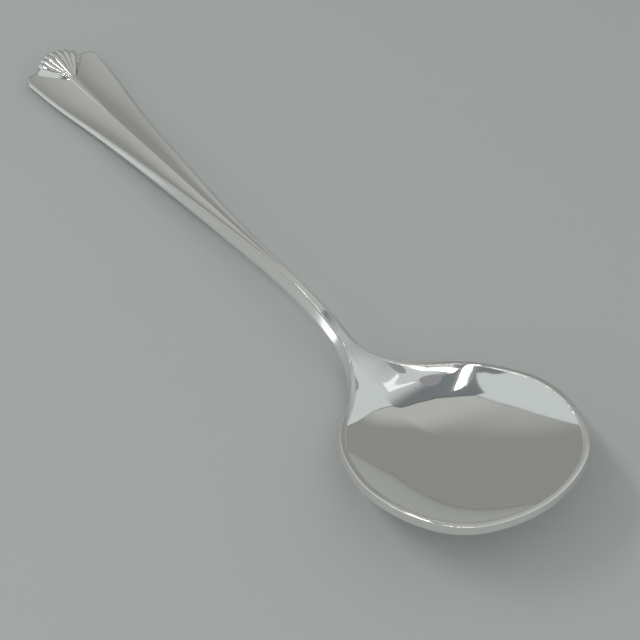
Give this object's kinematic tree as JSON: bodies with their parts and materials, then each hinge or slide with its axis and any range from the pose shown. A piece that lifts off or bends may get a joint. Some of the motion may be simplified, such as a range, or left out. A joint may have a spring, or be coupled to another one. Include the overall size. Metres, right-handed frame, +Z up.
{
  "type": "jam spoon",
  "caption": "Jam spoon with a broad egg-shaped bowl, a slim bevelled stem and a fluted fan at the end of its handle.",
  "frame": {"origin": "centre of the small resting flat under the bowl, on the table plane", "axes": "+X along the spoon towards the tip of the bowl, +Y across it, +Z up out of the hollow"},
  "size_m": [0.1451, 0.036, 0.0147],
  "materials": {
    "silver": "mirror-polished silver plate"
  },
  "bodies": {
    "root": {"bowl": "silver", "handle": "silver", "fan_finial": "silver"}
  },
  "joints": []
}
